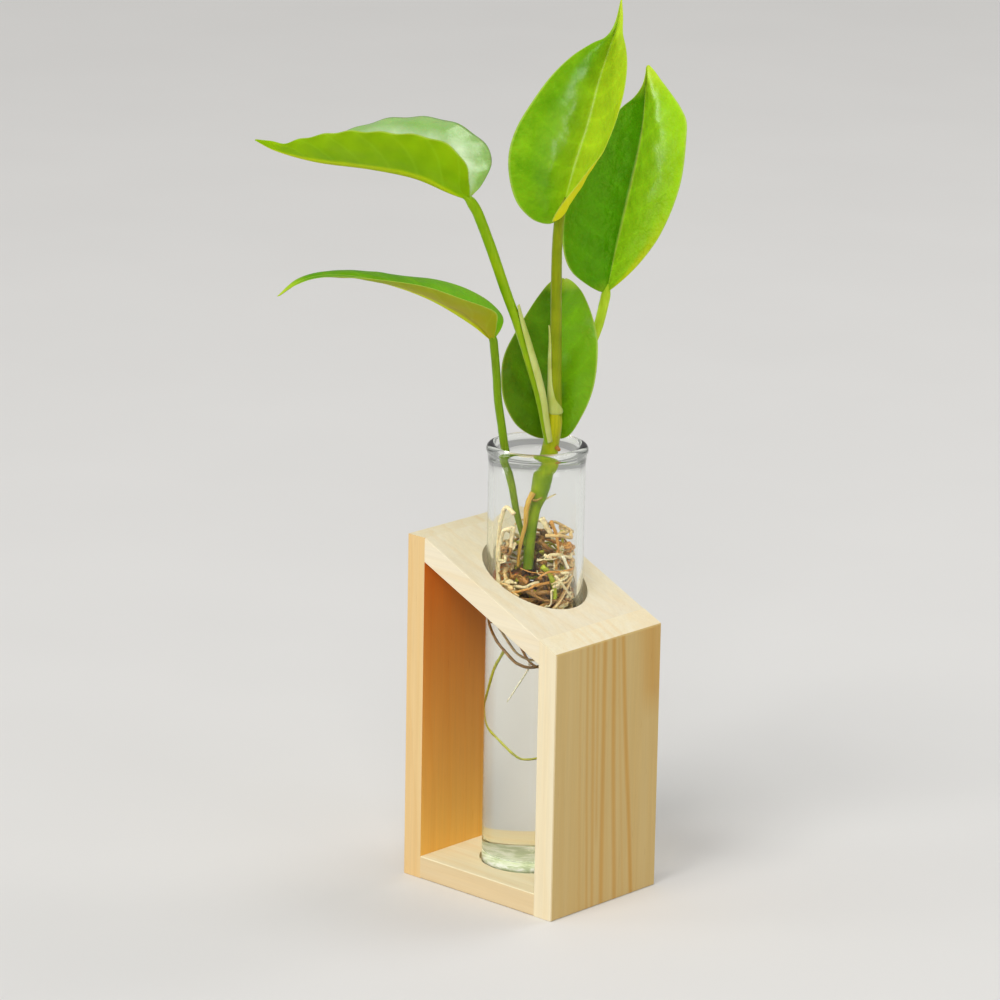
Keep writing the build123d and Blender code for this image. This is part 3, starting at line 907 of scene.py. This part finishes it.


# The looks of each blade's upper side and underside. A right colour is lighter, painted light on the lit
# half.
leaf_looks = {
    # The left leaf's whitish deep and fresh are a painted sheen on its far half over the leaf's own green,
    # which shows in its edge colour
    "left_leaf": (
        dict(
            deep=(0.38, 0.60, 0.24), fresh=(0.55, 0.72, 0.42), sheen=1.0, edge=(0.20, 0.48, 0.04),
            edge_start=0.60, relief=0.8,
        ),
        dict(deep=(0.22, 0.44, 0.002), fresh=(0.29, 0.52, 0.003)),
    ),
    "drooping_leaf": (
        dict(deep=(0.12, 0.38, 0.003), fresh=(0.18, 0.45, 0.006), gloss=0.5, sheen=0.05),
        dict(deep=(0.26, 0.36, 0.004), fresh=(0.32, 0.42, 0.006), blush_and_shade=(0.37, 0.35, 0.006)),
    ),
    "tall_leaf": (
        dict(
            deep=(0.12, 0.35, 0.002), fresh=(0.22, 0.49, 0.006), right=(0.46, 0.70, 0.014),
            change=(0.26, 0.56), sheen=1.0, sheen_roughness=0.23, rib=0.30, relief=0.7, yellow_reach=0.7,
            sheen_across=((0.14, 0.0), (0.28, 1.0), (0.47, 1.0), (0.53, 0.12)),
            sheen_along=((0.1, 0.5), (0.35, 1.0)),
        ),
        dict(deep=(0.66, 0.68, 0.004), fresh=(0.74, 0.74, 0.006)),
    ),
    "right_leaf": (
        dict(
            deep=(0.07, 0.27, 0.001), fresh=(0.10, 0.35, 0.002), right=(0.40, 0.78, 0.014), sheen=1.0,
            sheen_across=((0.34, 0.0), (0.42, 0.5), (0.52, 1.0), (0.72, 0.9), (0.84, 0.06)),
            sheen_along=((0.34, 0.04), (0.56, 1.0), (0.86, 1.0), (0.95, 0.3)), sheen_roughness=0.22, rib=0.6,
            relief=0.85, yellow_reach=0.42,
        ),
        dict(deep=(0.24, 0.44, 0.004), fresh=(0.32, 0.54, 0.008)),
    ),
    "small_leaf": (
        dict(
            deep=(0.062, 0.18, 0.001), fresh=(0.095, 0.25, 0.002), right=(0.17, 0.43, 0.003), gloss=0.38,
            sheen=0.3, sheen_across=((0.46, 0.3), (0.52, 1.0)),
        ),
        dict(deep=(0.20, 0.38, 0.01), fresh=(0.27, 0.47, 0.015)),
    ),
}


def leaf_blades():
    for name, (upper, under) in leaf_looks.items():
        kind = "leaf_" + name.removesuffix("_leaf")
        veins = leaves[name]["veins"]
        upper_skin = leaf_upper(kind + "_upper", veins=veins, **upper)
        blade(name, upper_skin, leaf_under(kind + "_under", veins=veins, **under))


# Stalks


knot_size = 1.7 * mm


def strand(points, radii, sides, wobble):
    """Vertices and faces of a round, closed strand along a line, with a radius for each point.

    wobble is how uneven it is, as a share of the radius.
    """
    vertices, faces = [], []
    side = None
    for index, point in enumerate(points):
        ahead = points[min(index + 1, len(points) - 1)] - points[max(index - 1, 0)]
        ahead.normalize()
        if side is None:
            side = ahead.orthogonal()
        side = (side - ahead * side.dot(ahead)).normalized()
        over = ahead.cross(side)
        for turn in range(sides):
            angle = math.tau * turn / sides
            along_side, along_over = math.cos(angle), math.sin(angle)
            uneven = 1 + wobble * noise.noise(point / knot_size + Vector((along_side, along_over, 0)))
            radius = radii[index] * uneven
            vertices.append(point + side * (radius * along_side) + over * (radius * along_over))
        if index:
            low = (index - 1) * sides
            for turn in range(sides):
                after = (turn + 1) % sides
                faces.append((low + turn, low + after, low + sides + after, low + sides + turn))
    vertices += [points[0], points[-1]]
    top = (len(points) - 1) * sides
    for turn in range(sides):
        after = (turn + 1) % sides
        faces.append((after, turn, len(vertices) - 2))
        faces.append((top + turn, top + after, len(vertices) - 1))
    return vertices, faces


def radii_along(count, stations, millimetres):
    return [eased(stations, millimetres, index / (count - 1)) * mm for index in range(count)]


# Each stalk: places from the stem to the blade, its radius in millimetres at even shares of its length, its
# darker and lighter colour, and for one the colour above the tube's mouth.
stalk_shapes = {
    "left_leaf": dict(
        places=seen_line(
            (551, 452, -0.5), (545.5, 425, -1.8), (540, 400, -2.8), (533, 375, -3.2), (518, 325, -4.2),
            (506, 292, -5), (492, 251, -5.5), (480.5, 220, -6), (475, 208, -6), (468, 198.5, -6),
            (460, 195, -5.8),
        ),
        radii=(1.6, 1.35, 1.5, 1.65, 1.7), colours=((0.21, 0.40, 0.003), (0.32, 0.48, 0.006)),
    ),
    "drooping_leaf": dict(
        places=seen_line(
            (526, 545, -0.3), (521, 529, -1.0), (516.5, 511, -1.6), (512.8, 489, -2.2), (509, 468, -2.6),
            (504.5, 446, -3.1), (501.5, 425, -4), (498, 400, -4.8), (496.5, 375, -5.6), (494.5, 352, -6.6),
            (492.5, 338, -7), (485, 331.5, -7.5),
        ),
        radii=(0.85, 1.15, 1.35, 1.3, 1.35), colours=((0.12, 0.19, 0.008), (0.19, 0.27, 0.012)),
        upper=(0.18, 0.33, 0.005),
    ),
    "tall_leaf": dict(
        places=seen_line(
            (555, 416, 0), (555, 385, -1), (555.8, 340, -2), (556.3, 290, -3.5), (557, 250, -4.8),
            (559, 221, -5.8), (562, 207, -5.4), (565, 197, -5),
        ),
        radii=(2.3, 1.95, 1.78, 1.65, 1.5), colours=((0.20, 0.26, 0.003), (0.28, 0.33, 0.006)),
    ),
    "right_leaf": dict(
        places=[
            inside(0.10, 0.16, 0.13), inside(-0.18, 0.70, 0.012),
            *seen_line(
                (588, 352, 19.5), (598.5, 325, 22), (604, 303, 23.4), (606.5, 292, 24), (608.5, 284, 24.5),
            ),
        ],
        radii=(1.4, 1.5, 1.5, 1.55, 1.6), colours=((0.40, 0.60, 0.015), (0.56, 0.76, 0.04)),
    ),
    "small_leaf": dict(
        places=[
            inside(0.10, 0.30, 0.09), inside(-0.10, 0.50, 0.017),
            *seen_line((552, 437, 6.8), (551.8, 428, 6.8)),
        ],
        radii=(1.1, 1.1, 1.1, 1.1, 1.1), colours=((0.22, 0.40, 0.02), (0.32, 0.50, 0.04)),
    ),
}
stalk_share_stations = (0.0, 0.25, 0.5, 0.75, 1.0)
stalk_steps = 140
stalk_sides = 20
stalk_end_share = 0.06
stalk_end_taper = 0.8


def leaf_stalk(name):
    """A stalk from the stem that runs out along the start of its blade's midrib."""
    shape = stalk_shapes[name]
    points = even_line(shape["places"], stalk_steps)
    radii = radii_along(len(points), stalk_share_stations, shape["radii"])
    tail = round(len(points) * stalk_end_share)
    for step in range(tail):
        radii[step - tail] *= 1 - stalk_end_taper * ((step + 1) / tail) ** 1.5
    material = stalk_skin(name + "_stalk_skin", *shape["colours"], upper=shape.get("upper"))
    vertices, faces = strand(points, radii, stalk_sides, wobble=0.03)
    piece = new_piece(name + "_petiole", vertices, faces, material)
    return belong(piece, "cutting", "plant_stalk", name + "_stalk")


stem_pixels = (
    (528, 568), (529, 550), (530.5, 535), (532.5, 520), (536, 504), (539, 494), (541.5, 482), (543.5, 470),
    (547.5, 460), (550, 449), (552, 438), (553.5, 425), (554.3, 411),
)
stem_places = [seen(x, y, 0) for x, y in stem_pixels]
stem_station_shares = (0.0, 0.38, 0.47, 0.545, 0.62, 0.69, 0.83, 0.91, 1.0)
stem_radii = (1.7, 1.85, 2.7, 3.1, 3.15, 2.9, 2.6, 2.7, 2.45)
stem_steps = 120
stem_sides = 32


def main_stem():
    """The old stem, swollen above the node in the tube and ringed where the stalks part."""
    points = even_line(stem_places, stem_steps)
    radii = radii_along(len(points), stem_station_shares, stem_radii)
    vertices, faces = strand(points, radii, stem_sides, wobble=0.05)
    material = stalk_skin(
        "stem_skin", (0.14, 0.25, 0.003), (0.29, 0.39, 0.008), brown=0.55, upper=(0.48, 0.47, 0.008),
    )
    return belong(new_piece("stem", vertices, faces, material), "cutting", "plant_stalk", "main_stem")


# Each sheath is a thin gutter round the side of its stalk: its route, its radius along it, the turn of
# its middle about the route from the camera's right, and how far it reaches round.
sheaths = (
    dict(
        route=seen_line(
            (546.5, 441, -1.6), (543.8, 422, -2.5), (540.8, 400, -3.1), (535, 375, -3.5), (527, 347, -4.0),
            (520, 321, -4.5), (516.8, 305, -4.9),
        ),
        radii=(2.15, 1.92, 1.98, 2.0, 1.88, 1.58, 0.95), turn_degrees=-22,
        reach_degrees=(56, 66, 70, 72, 68, 64, 58),
    ),
    dict(
        route=seen_line(
            (555, 412, 0), (555, 395, -0.6), (555, 375, -1.2), (554.2, 352, -1.8), (552.8, 336, -2.2),
            (551.2, 325, -2.4),
        ),
        radii=(2.6, 2.5, 2.35, 2.15, 1.55, 0.9), turn_degrees=197,
        reach_degrees=(165, 72, 46, 42, 42, 42),
    ),
)
sheath_steps = 60
sheath_turns = 18
sheath_thickness = 0.28 * mm
sheath_least_radius = 0.1 * mm


def gutter(route, radii, turn_degrees, reach_degrees):
    """A thin curved sheet round one side of a line, closed all round."""
    points = even_line(route, sheath_steps)
    stations = [index / (len(radii) - 1) for index in range(len(radii))]
    vertices = []
    for layer in (0, 1):
        for index, point in enumerate(points):
            ahead = (points[min(index + 1, sheath_steps)] - points[max(index - 1, 0)]).normalized()
            side = (camera_right - ahead * camera_right.dot(ahead)).normalized()
            over = ahead.cross(side)
            share = index / sheath_steps
            radius = max(eased(stations, radii, share) * mm - layer * sheath_thickness, sheath_least_radius)
            reach = eased(stations, reach_degrees, share)
            for step in range(sheath_turns + 1):
                angle = math.radians(turn_degrees + reach * (2 * step / sheath_turns - 1))
                vertices.append(point + side * (radius * math.cos(angle)) + over * (radius * math.sin(angle)))
    faces, _ = sheet_faces(sheath_turns + 1, sheath_steps + 1)
    return vertices, faces


def leaf_sheaths():
    """The two pale papery sheaths beside the stalks, in one piece."""
    vertices, faces = [], []
    for sheath in sheaths:
        add_shape(vertices, faces, *gutter(**sheath))
    material = stalk_skin("sheath_skin", (0.46, 0.52, 0.10), (0.62, 0.67, 0.24), streak_strength=0.3)
    piece = new_piece("sheath_wings", vertices, faces, material)
    return belong(piece, "cutting", "plant_stalk", "leaf_sheaths")


# Roots

root_cream = (0.84, 0.70, 0.40)
root_white = (0.90, 0.83, 0.62)
root_tan = (0.68, 0.47, 0.20)
root_orange = (0.58, 0.27, 0.05)
root_brown = (0.34, 0.17, 0.035)
root_painted_shade = (0.12, 0.06, 0.012)
root_olive = (0.44, 0.44, 0.02)
root_rust = (0.50, 0.18, 0.02)
root_umber = (0.34, 0.24, 0.02)
root_green = (0.40, 0.46, 0.02)
# The core's darkest strands are painted shade: they stand for the shade deep in the tangle. The core's other
# tones are the roots' own.
core_tones_and_shade = [root_painted_shade, root_painted_shade, root_brown, root_brown, root_orange, root_olive]
outer_tones = [root_cream, root_tan, root_tan, root_orange, root_brown, root_cream, root_olive]
root_reach = 12.45 * mm
root_core_top = 116.0 * mm
root_core_low = 89.0 * mm
stem_clearance = 3.0 * mm
stem_margin = 1.0 * mm
stem_foot_height = inside(0, 0, 0.402).z

# The seeded roots: how many, between which heights they start, how many millimetres they drop and how low
# they may end, and the ranges of their turns about the axis, of their reach as a share of the bundle's, and
# of their radius in millimetres, which ends as a share of it
core_roots = dict(
    count=70, start=(root_core_low, root_core_top), drop=(-3, 12), lowest=root_core_low - 1 * mm,
    turns=(-0.7, 0.7), reach=(0.25, 0.85), radius=(0.55, 0.95), end_share=0.6, tones=core_tones_and_shade,
)
outer_roots = dict(
    count=72, start=(root_core_low, root_core_top + 5 * mm), drop=(-2, 14), lowest=root_core_low - 1 * mm,
    turns=(0.15, 0.55), reach=(0.3, 0.9), radius=(0.32, 0.68), end_share=0.5, tones=outer_tones,
)
side_roots = dict(
    count=17, start=(root_core_low + 3 * mm, root_core_top + 1 * mm), drop=(-4, 12), lowest=root_core_low,
    turns=(-0.14, 0.14), reach=(0.4, 0.8), radius=(0.40, 0.75), end_share=0.6, tones=outer_tones,
)
side_turns_degrees = (-78, 78)
side_spread_degrees = 38
root_hairs = 20
hair_thick = 0.17 * mm
hair_thin = 0.07 * mm
kinks = 12
kink_turn_degrees = 9
kink_rise = 0.9
root_sides = 8
root_steps = 6


def on_wall(turn_degrees, height, share):
    """A place by the bore's wall. 0 degrees faces the camera, 90 is on its right."""
    angle = math.radians(turn_degrees)
    out = view_right * math.sin(angle) - view_away * math.cos(angle)
    return out * (root_reach * share) + Vector((0, 0, height))


def hides_the_stem(places):
    """Whether a root would pass in front of the stem's green lower end."""
    foot = stem_places[0]
    for place in places:
        aside, behind = abs((place - foot).dot(view_right)), (place - foot).dot(view_away)
        if place.z > foot.z - stem_margin and aside < stem_clearance and behind < stem_margin:
            return True
    return False


def wandering_root(ends, start_turn, turns, start_reach, end_reach):
    """Places of a root that winds about the tube's axis with small kinks. ends are its two heights."""
    places = []
    for step in range(kinks):
        share = step / (kinks - 1)
        out = between(start_reach, end_reach, min(1.0, 1.6 * share)) * (0.93 + 0.12 * chance.random())
        angle = start_turn + turns * 360 * share + chance.uniform(-kink_turn_degrees, kink_turn_degrees)
        height = between(*ends, share**0.85) + chance.uniform(-kink_rise, kink_rise) * mm
        places.append(on_wall(angle, height, min(out, 1.0)))
    return places


def root_ends(kind):
    start = chance.uniform(*kind["start"])
    return start, max(start - chance.uniform(*kind["drop"]) * mm, kind["lowest"])


def core_root():
    ends = root_ends(core_roots)
    reach = chance.uniform(*core_roots["reach"])
    return wandering_root(ends, chance.uniform(0, 360), chance.uniform(*core_roots["turns"]), 0.2, reach)


def outer_root():
    ends = root_ends(outer_roots)
    turns = chance.choice((-1, 1)) * chance.uniform(*outer_roots["turns"])
    return wandering_root(ends, chance.uniform(0, 360), turns, chance.uniform(*outer_roots["reach"]), 1.0)


def side_root(side_degrees):
    ends = root_ends(side_roots)
    turn = side_degrees + chance.uniform(-side_spread_degrees, side_spread_degrees)
    turns = chance.uniform(*side_roots["turns"])
    return wandering_root(ends, turn, turns, chance.uniform(*side_roots["reach"]), 0.98)


def root_hair():
    """A fine hair near the stem's lower end."""
    start = chance.uniform(stem_foot_height - 10 * mm, stem_foot_height + 6 * mm)
    ends = (start, start + chance.uniform(-7, 7) * mm)
    places = wandering_root(ends, chance.uniform(0, 360), 0.4, 0.5, 0.95)
    return places[3:9], hair_thick, hair_thin, chance.choice(outer_tones[:4])


def add_root(strands, places, kind):
    """Adds a root with a radius and a colour of its own, unless it would hide the stem."""
    thick = chance.uniform(*kind["radius"]) * mm
    if not hides_the_stem(places):
        strands.append((places, thick, thick * kind["end_share"], chance.choice(kind["tones"])))


def around(*spots, share=0.97):
    """Places by the bore's wall, each given by its turn about the tube's axis and height in millimetres."""
    return [on_wall(turn, height * mm, share) for turn, height in spots]


# The single roots that stand out in the view: thick and thin radius in millimetres, colour and places
shown_roots = (
    (0.60, 0.45, root_brown,
     around((-96, 92), (-84, 87), (-62, 83), (-46, 80.5), (-24, 77), (0, 76), (40, 78))),
    (0.50, 0.36, root_tan, around((-90, 94), (-66, 89.5), (-42, 84.5), (-22, 80), (4, 78.5), (40, 82))),
    (0.50, 0.34, root_orange, around((-52, 92), (-40, 87.5), (-24, 84.5), (-4, 77.5), (20, 75))),
    (0.52, 0.36, root_olive,
     around((-46, 80), (-66, 73), (-86, 64), (-104, 58), (-86, 52.5), (-48, 49.5), (-24, 46), (-8, 45),
            (24, 46))),
    (0.36, 0.20, root_white, around((-4, 78.5), (-8, 75), (-22, 69.5), (-38, 63.5))),
    (0.66, 0.48, root_cream, around((-84, 112), (-66, 102), (-42, 96), (-10, 93), (30, 94), (66, 99))),
    (0.55, 0.40, root_orange, around((-74, 103), (-50, 95.5), (-24, 91), (6, 88), (34, 88))),
    (0.66, 0.46, root_tan, around((-14, 87), (8, 91), (34, 96), (58, 102), (80, 106))),
    (0.50, 0.36, root_brown, around((-2, 86), (18, 92), (44, 99), (66, 104))),
    (0.42, 0.30, root_white, around((-30, 91), (-20, 94), (-10, 93), (-4, 90.5))),
    (0.66, 0.50, root_cream, around((-34, 126), (-50, 127.5), (-64, 122), (-74, 114), (-78, 106))),
    (0.60, 0.45, root_cream, around((-40, 121), (-56, 119), (-66, 112), (-70, 104), (-64, 98))),
    (0.80, 0.50, root_cream, around((-46, 121), (-50, 117), (-52, 112), share=0.78)),
    (1.0, 0.55, root_cream, around((10, 124.5), (18, 122.5), (28, 119.5), (34, 117.5), share=0.75)),
    (0.55, 0.35, root_orange, around((24, 124), (34, 119), (40, 113), share=0.9)),
    (0.75, 0.5, root_rust, seen_line((556, 446.5, -2.0), (558, 448.5, -2.1), (559.5, 450.5, -1.9))),
    (0.42, 0.3, root_umber,
     seen_line((531, 498, -2.4), (535, 500, -2.7), (540, 498, -2.5), (544, 494, -1.8))),
    (0.85, 0.65, root_green, around((12, 109), (26, 106), (34, 101.5), (37, 96.5), share=0.85)),
    (0.50, 0.35, root_white, around((44, 112), (54, 108), (66, 104), (80, 102))),
    (0.55, 0.40, root_cream, around((30, 106), (46, 102), (62, 98), (78, 97))),
    (0.45, 0.22, root_cream, seen_line((535, 504, 0), (545, 499, 1.5), (556, 493.5, 3))),
)


def root_strands():
    """All roots as (places, thick radius, thin radius, colour), seeded, plus the ones that show most."""
    strands = []
    while len(strands) < core_roots["count"]:
        add_root(strands, core_root(), core_roots)
    while len(strands) < core_roots["count"] + outer_roots["count"]:
        add_root(strands, outer_root(), outer_roots)
    for side_degrees in side_turns_degrees:
        for _ in range(side_roots["count"]):
            add_root(strands, side_root(side_degrees), side_roots)
    strands += [root_hair() for _ in range(root_hairs)]
    return strands + [(places, thick * mm, thin * mm, tone) for thick, thin, tone, places in shown_roots]


def root_tangle():
    vertices, faces, tones = [], [], []
    for places, thick, thin, tone in root_strands():
        points = smooth_line(places, root_steps)
        radii = [between(thick, thin, (index / (len(points) - 1)) ** 1.5) for index in range(len(points))]
        add_shape(vertices, faces, *strand(points, radii, root_sides, wobble=0.30))
        tones += [tone] * (len(vertices) - len(tones))
    piece = new_piece("root_tangle", vertices, faces, root_skin())
    colour = piece.data.color_attributes.new("strand_colour", "FLOAT_COLOR", "POINT")
    for index, tone in enumerate(tones):
        colour.data[index].color = (*tone, 1.0)
    return belong(piece, "cutting", "plant_root", "root_bundle")


air_root_places = seen_line(
    (533, 492, -2.4), (529, 500, -3.0), (526.5, 510, -3.0), (525.5, 524, -3.0), (522.5, 536, -3.2),
    (519.5, 550, -3.6), (518, 566, -4.0),
)
air_root_steps = 10
air_root_sides = 14


def air_root():
    """The orange-brown root beside the stem, from its node down."""
    points = smooth_line(air_root_places, air_root_steps)
    last = len(points) - 1
    radii = [between(aerial_root_radius, aerial_root_tip, index / last) for index in range(last + 1)]
    vertices, faces = strand(points, radii, air_root_sides, wobble=0.15)
    material = stalk_skin("air_root_skin", (0.46, 0.25, 0.035), (0.62, 0.39, 0.09), brown=0.3)
    return belong(new_piece("air_root", vertices, faces, material), "cutting", "plant_root", "aerial_root")


# Floor, lights and camera


floor_reach = 6.0
floor_drop = 0.1 * mm
world_colour = (1.0, 0.99, 0.975, 1.0)
world_strength = 0.34

# Each soft light: its direction, distance, width, height, level and colour
soft_lights = {
    "fill_light": ((-0.05, -0.88, 0.48), 2.4, 0.9, 0.7, 0.20, (1.0, 0.99, 0.97)),
    "side_light": ((-1.0, -0.05, 0.10), 1.6, 0.55, 0.60, 0.22, (1.0, 0.995, 0.98)),
    "front_light": ((0.75, -0.65, 0.05), 1.8, 0.60, 0.60, 0.15, (1.0, 1.0, 1.0)),
    "top_light": ((0.42, 0.25, 0.85), 1.8, 0.7, 0.7, 0.20, (1.0, 1.0, 1.0)),
}


def studio_floor():
    corners = [(x * floor_reach, y * floor_reach, 0) for x, y in ((-1, -1), (1, -1), (1, 1), (-1, 1))]
    s = Shader("floor_paint")
    grain = s.noise(s.place(), 9.0, 2.0)
    s.set(base_color=s.ramp(grain, [(0.3, (0.80, 0.795, 0.785)), (0.7, (0.815, 0.81, 0.80))]), roughness=0.7)
    s.set(specular_ior_level=0.2)
    floor = new_piece("floor", corners, [(0, 1, 2, 3)], s.material, smooth=False)
    floor.location.z = -floor_drop


def in_view(right, away, up):
    """A direction given as right, away and up from the camera's view."""
    return view_right * right + view_away * away + Vector((0, 0, up))


def hang_light(name, data, colour, towards):
    """Puts a light in the scene that shines from the side to which towards points."""
    data.color = colour
    light = bpy.data.objects.new(name, data)
    light.rotation_euler = (-towards).to_track_quat("-Z", "Y").to_euler()
    bpy.context.scene.collection.objects.link(light)
    return light


def soft_light(name, direction, distance, width, height, level, colour):
    """A soft box, aimed at the part's middle, that adds about `level` to a white face turned to it."""
    middle = Vector((0, 0, (cad_low.z + cad_high.z) / 2))
    towards = in_view(*direction).normalized()
    data = bpy.data.lights.new(name, "AREA")
    data.shape = "RECTANGLE"
    data.size = width
    data.size_y = height
    data.energy = level * math.pi**2 * distance**2
    hang_light(name, data, colour, towards).location = middle + towards * distance


def sun_light(name, direction, level, spread_degrees, colour):
    """Even light from one side, like a large far window."""
    data = bpy.data.lights.new(name, "SUN")
    data.energy = level * math.pi
    data.angle = math.radians(spread_degrees)
    hang_light(name, data, colour, in_view(*direction))


def studio_lights():
    sun_light("key_light", (-0.50, -0.60, 1.10), 0.38, 25.0, (1.0, 0.985, 0.955))
    for name, settings in soft_lights.items():
        soft_light(name, *settings)
    world = bpy.data.worlds.new("studio")
    world.use_nodes = True
    background = world.node_tree.nodes["Background"]
    background.inputs["Color"].default_value = world_colour
    background.inputs["Strength"].default_value = world_strength
    bpy.context.scene.world = world


def photo_camera():
    """The camera at the photograph's place, direction and roll."""
    data = bpy.data.cameras.new("photo_camera")
    data.lens = camera_lens
    data.sensor_width = camera_sensor
    data.clip_start = 0.05
    data.clip_end = 50.0
    camera = bpy.data.objects.new("photo_camera", data)
    turned = Matrix((camera_right, camera_up, -camera_ahead)).transposed().to_4x4()
    camera.matrix_world = Matrix.Translation(camera_place) @ turned
    bpy.context.scene.collection.objects.link(camera)
    bpy.context.scene.camera = camera


photo_camera()
studio_floor()
studio_lights()
dress_the_stand()
glass_tube()
cloudy_foot()
water_column()
main_stem()
for leaf_name in leaves:
    leaf_stalk(leaf_name)
leaf_sheaths()
leaf_blades()
root_tangle()
air_root()
bpy.context.scene.view_settings.view_transform = "Standard"
